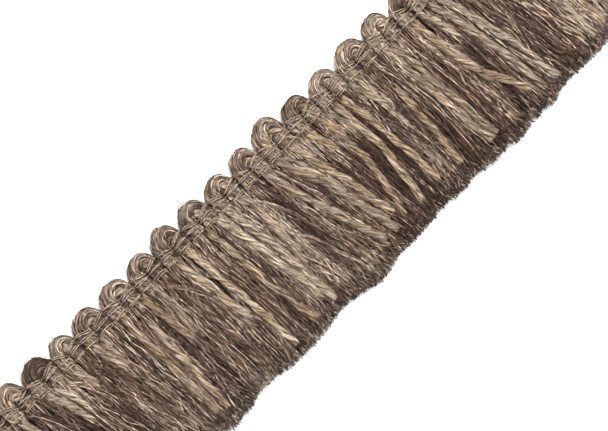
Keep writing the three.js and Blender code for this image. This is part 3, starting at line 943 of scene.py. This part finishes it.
def wisp_hairs(rng, each, radius, points):
    """The hairs of the wisps. They come up from among the locks at their roots."""
    column = (len(WISPS) * each, 1)
    wisp = Wisp(*(np.repeat(values, each)[:, None] for values in zip(*WISPS)))
    t = np.linspace(0, 1, points)
    own = rng.uniform(-1, 1, column) + rng.normal(0, 0.15, column) * t
    # Roots close to the heading stay in line, the others are scattered along Y
    y = wisp.y0 + rng.uniform(-1.2, 1.2, column) * smooth(wisp.y0, -3.5, -5.5)
    y = y + (wisp.y1 + rng.uniform(-1.0, 1.0, column) - y) * t
    y = np.maximum(y, TIP_Y)
    x = wisp.x0 + (wisp.x1 - wisp.x0) * t**0.9 + wisp.bow * np.sin(math.pi * t**0.8)
    x = x + own * (wisp.root * (1 - t) + wisp.tip * t) * (1 - 0.35 * np.sin(math.pi * t))
    wave = rng.uniform(6, 14, column)
    phase = rng.uniform(0, TURN, column)
    x = x + rng.uniform(0.05, 0.25, column) * ripple(y, wave, phase)
    z = face_height(y) + rng.uniform(-0.1, 0.3, column)
    z = z - 0.7 * smooth(t, 0.12, 0) - 0.3 * smooth(t, 0.85, 1)
    shade = fine_shades(rng, wisp.shade - 0.05, 0.42, 0.26) - 0.5 * patch_shade(x, y)
    colour = silky_colour(np.minimum(shade, LIGHTEST), rng.uniform(0, 0.2, column))
    return np.stack([x, y, z], -1), own_radii(rng, radius, column), colour


TIP_RADIUS = 0.11
TIP_LOW, TIP_HIGH = 0.15, 6.6  # between which heights the cut ends lie
TIP_FLOOR = 0.14


def make_tips(rng, count):
    """Short ends at the skirt's lower edge, where the hidden yarns are cut. They point every way."""
    column = (count, 1)
    x = rng.uniform(-HALF_LENGTH, HALF_LENGTH, column)
    z = rng.uniform(TIP_LOW, TIP_HIGH, column)
    edge = edge_height(x) + 0.9 * (z / TIP_HIGH) ** 2
    length = rng.uniform(1.0, 2.4, column)
    t = np.linspace(0, 1, 4)
    slant = rng.normal(0, 0.35, column)
    y = edge + length * (1 - t) + rng.normal(0, 0.35, column)
    paths = np.stack([
        x + slant * length * t + rng.normal(0, 0.08, y.shape),
        y,
        np.maximum(z + rng.normal(0, 0.25, column) * t, TIP_FLOOR),
    ], -1)
    shade = rng.normal(0.30, 0.17, column) + (rng.uniform(0, 1, column) < 0.35) * 0.3
    return paths, TIP_RADIUS, yarn_colour(shade - 0.6 * patch_shade(x, edge + 1))


def make_skirt():
    rng = np.random.default_rng(23)
    tufts = make_tufts(rng, per_leg=8)
    cores, under, face, top, hairs, tips = (Bunch() for _ in range(6))
    # lighter below 0 paints the cores and under strands darker, as shade deep in the skirt; above 0 for the
    # stray hairs it is their own paler yarn
    strands = silky(rng, tufts, count=480, depth=(1.9, 6.4), radius=0.66, points=8, wander=0.3, lighter=-0.2)
    cores.add(*strands, rng, sides=6)
    cores.make("skirt_cores", SKIRT_YARN, "dark_skirt_yarn", replaces=["skirt_back"])
    under.add(*silky(rng, tufts, count=1500, depth=(1.0, 7.1), radius=0.3, points=9, lighter=-0.04), rng)
    ends_rng = np.random.default_rng(31)
    ends = make_end_tufts(ends_rng, per_end=12)
    strands = silky(ends_rng, ends, count=260, depth=(0.6, 7.1), radius=0.3, points=9, spread=0.3, wander=0.5)
    under.add(*strands, ends_rng)
    under.make("skirt_under_strands", SKIRT_YARN, "dark_skirt_yarn", replaces=["skirt_middle", "skirt_back"])
    locks = make_locks(rng, per_leg=4, deep=(0.7, 1.8), short=(0.7, 2.4), lighter=0.0)
    face.add(*lock_strands(rng, locks, each=14, radius=0.13, points=13, dark=0.45, light=0.2), rng)
    face.make("skirt_face_locks", SKIRT_YARN, "mixed_skirt_yarn", replaces=["skirt_front", "skirt_middle"])
    locks = make_locks(rng, per_leg=3, deep=(0.1, 0.9), short=(0.8, 3.6), lighter=0.06)
    top.add(*lock_strands(rng, locks, each=16, radius=0.12, points=14, dark=0.42, light=0.28), rng)
    top.make("skirt_top_locks", SKIRT_YARN, "mixed_skirt_yarn", replaces=["skirt_front"])
    strands = silky(rng, tufts, count=1400, depth=(-0.25, 0.5), radius=0.10, points=12, spread=2.8,
                    wander=2.4, lighter=0.32)
    hairs.add(*strands, rng)
    hairs.add(*wisp_hairs(np.random.default_rng(57), each=18, radius=0.105, points=14), rng)
    hairs.make("skirt_stray_hairs", SKIRT_YARN, "mixed_skirt_yarn", replaces=["skirt_front"])
    tips.add(*make_tips(rng, count=3500), rng)
    tips.make("skirt_cut_tips", SKIRT_YARN, "dark_skirt_yarn", replaces=["skirt_back"])


# Plied yarns on the face of the skirt

CUT_NEAR = 4.5  # a yarn that comes this near to the tips of the face is cut there, others sink
SINK_LENGTH = 4.0  # how much further such a yarn runs while it sinks
SINK_DEPTH = 2.6
STEP = 1.0  # from one point of a yarn's path to the next
AXIS_DEEP = 0.75  # how far the axis of a yarn without lift lies under the skirt's face
BINDING_FOOT = -5.0  # yarns that start above this Y come up from under the binding
PLIES = 3
PLY_PITCH = 9.5  # positive for plies that run down to the right on the face
PLY_OFFSET = 0.47
PLY_RADIUS = 0.60
PLY_SLANT = -0.35
PLIED_TONE = 0.555
PLIED_SPREAD = 0.05  # how much yarns, and plies of one yarn, differ in tone
MOST_TAN = 0.55
LOOSE_OFFSET = 0.60  # how far the loose strands lie from their ply
LOOSE_HAIR_RADIUS = 0.11


def plied_yarn(bunch, yarn, rng):
    """One light yarn of twisted plies, with loose strands round each ply. It comes up from under
    the binding or from among the locks, and frays where it is cut."""
    is_cut = yarn.y1 < FRONT_TIP_Y + CUT_NEAR
    y_end = yarn.y1 if is_cut else yarn.y1 - SINK_LENGTH
    points = max(10, int(abs(y_end - yarn.y0) / STEP))
    t = np.linspace(0, (y_end - yarn.y0) / (yarn.y1 - yarn.y0), points)
    y = yarn.y0 + (yarn.y1 - yarn.y0) * t
    x = yarn.x0 + (yarn.x1 - yarn.x0) * t + yarn.bow * np.sin(math.pi * np.clip(t, 0, 1))
    x = x + 0.15 * ripple(y, rng.uniform(9, 16), rng.uniform(0, TURN))
    z = face_height(y) - AXIS_DEEP + yarn.lift
    if not is_cut:
        z = z - SINK_DEPTH * smooth(y, yarn.y1 + 1.5, y_end)
    if yarn.y0 < BINDING_FOOT:
        z = z - 2.0 * smooth(y, yarn.y0 - 3.0, yarn.y0)
    else:
        z = z - 0.8 * smooth(y, BINDING_FOOT, -2.0)
    path = np.stack([x, y, z], 1)[None]
    fray = 1 + rng.uniform(-0.45, 0.35) * smooth(y, y_end + 6.0, y_end) * is_cut
    base = PLIED_TONE + rng.normal(0, PLIED_SPREAD)
    pitch = PLY_PITCH * rng.uniform(1.05, 1.9)
    for ply in twisted(path, PLIES, PLY_OFFSET * fray, pitch):
        tan = np.clip(yarn.tan * rng.uniform(0.3, 1.6), 0, MOST_TAN)
        tone = base + rng.normal(0, PLIED_SPREAD)
        tone = tone + 0.05 * ripple(y, rng.uniform(6, 12), rng.uniform(0, TURN))
        radius = PLY_RADIUS * (1 + 0.10 * ripple(y, rng.uniform(4, 9))) * fray**0.5
        bunch.add(ply, radius, yarn_colour(tone[None], tan) * PLIED_HUE, rng, 7, PLY_SLANT, path)
        loose_offset = LOOSE_OFFSET * rng.uniform(0.9, 1.15) * fray
        for strand in twisted(ply, LOOSE_PER_PLY, loose_offset, -pitch * LOOSE_PITCH):
            shade = fine_shades(rng, np.full(1, base), 0.4, 0.3)
            strand = strand + rng.normal(0, 0.04, strand.shape)
            bunch.add(strand, LOOSE_HAIR_RADIUS, yarn_colour(shade, tan) * PLIED_HUE, rng)


def make_plied_yarns():
    rng = np.random.default_rng(71)
    half = len(YARNS) // 2
    for name, rows in (("plied_yarns_left", YARNS[:half]), ("plied_yarns_right", YARNS[half:])):
        bunch = Bunch()
        for yarn in rows:
            plied_yarn(bunch, yarn, rng)
        bunch.make(name, PLIED_YARN, "mixed_skirt_yarn", replaces=["skirt_front"])


make_loops()
make_filling()
make_binding()
make_skirt()
make_plied_yarns()


# Floor, light and camera. Lights and floor are in metres, the view in millimetres.

FLOOR_HALF = 3.0
SKY_STRENGTH = 0.8
VIEW_CENTRE = (-3.7, -16.3, 4.0)  # what lies in the middle of the picture
VIEW_WIDTH = 144.8
VIEW_TURN = math.radians(-45.5)  # the trim runs up to the right
SENSOR = 36.0
CAMERA_HEIGHT = 900.0


def make_floor():
    mesh = bpy.data.meshes.new("floor")
    h = FLOOR_HALF
    mesh.from_pydata([(-h, -h, 0), (h, -h, 0), (h, h, 0), (-h, h, 0)], [], [(0, 1, 2, 3)])
    floor = bpy.data.objects.new("floor", mesh)
    bpy.context.scene.collection.objects.link(floor)
    material = bpy.data.materials.new("pale_floor")
    material.use_nodes = True
    shader = material.node_tree.nodes["Principled BSDF"]
    set_inputs(shader, {"Base Color": (0.93, 0.93, 0.93, 1), "Roughness": 0.9})
    mesh.materials.append(material)


def make_light(name, place, size, power):
    """A round lamp that shines on the middle of the trim."""
    data = bpy.data.lights.new(name, "AREA")
    data.shape = "DISK"
    data.size = size
    data.energy = power
    light = bpy.data.objects.new(name, data)
    light.location = place
    light.rotation_mode = "QUATERNION"
    light.rotation_quaternion = (-Vector(place)).to_track_quat("-Z", "Y")
    bpy.context.scene.collection.objects.link(light)


def make_camera():
    """A long lens straight above, as wide as the photo and turned as it is."""
    data = bpy.data.cameras.new("camera")
    data.sensor_width = SENSOR
    data.lens = SENSOR * CAMERA_HEIGHT / VIEW_WIDTH
    data.clip_start, data.clip_end = 0.01, 20
    camera = bpy.data.objects.new("camera", data)
    x, y, z = VIEW_CENTRE
    camera.location = (x * METRES, y * METRES, (z + CAMERA_HEIGHT) * METRES)
    camera.rotation_euler = (0, 0, VIEW_TURN)
    bpy.context.scene.collection.objects.link(camera)
    bpy.context.scene.camera = camera


def make_world():
    world = bpy.data.worlds.new("world")
    world.use_nodes = True
    set_inputs(world.node_tree.nodes["Background"], {"Color": (1, 1, 1, 1), "Strength": SKY_STRENGTH})
    bpy.context.scene.world = world


make_floor()
make_world()
make_light("key_light", place=(0.4, 0.25, 1.15), size=0.5, power=30)
make_light("fill_light", place=(-0.6, -0.3, 1.0), size=0.9, power=4)
make_camera()
bpy.context.scene.view_settings.view_transform = "Standard"
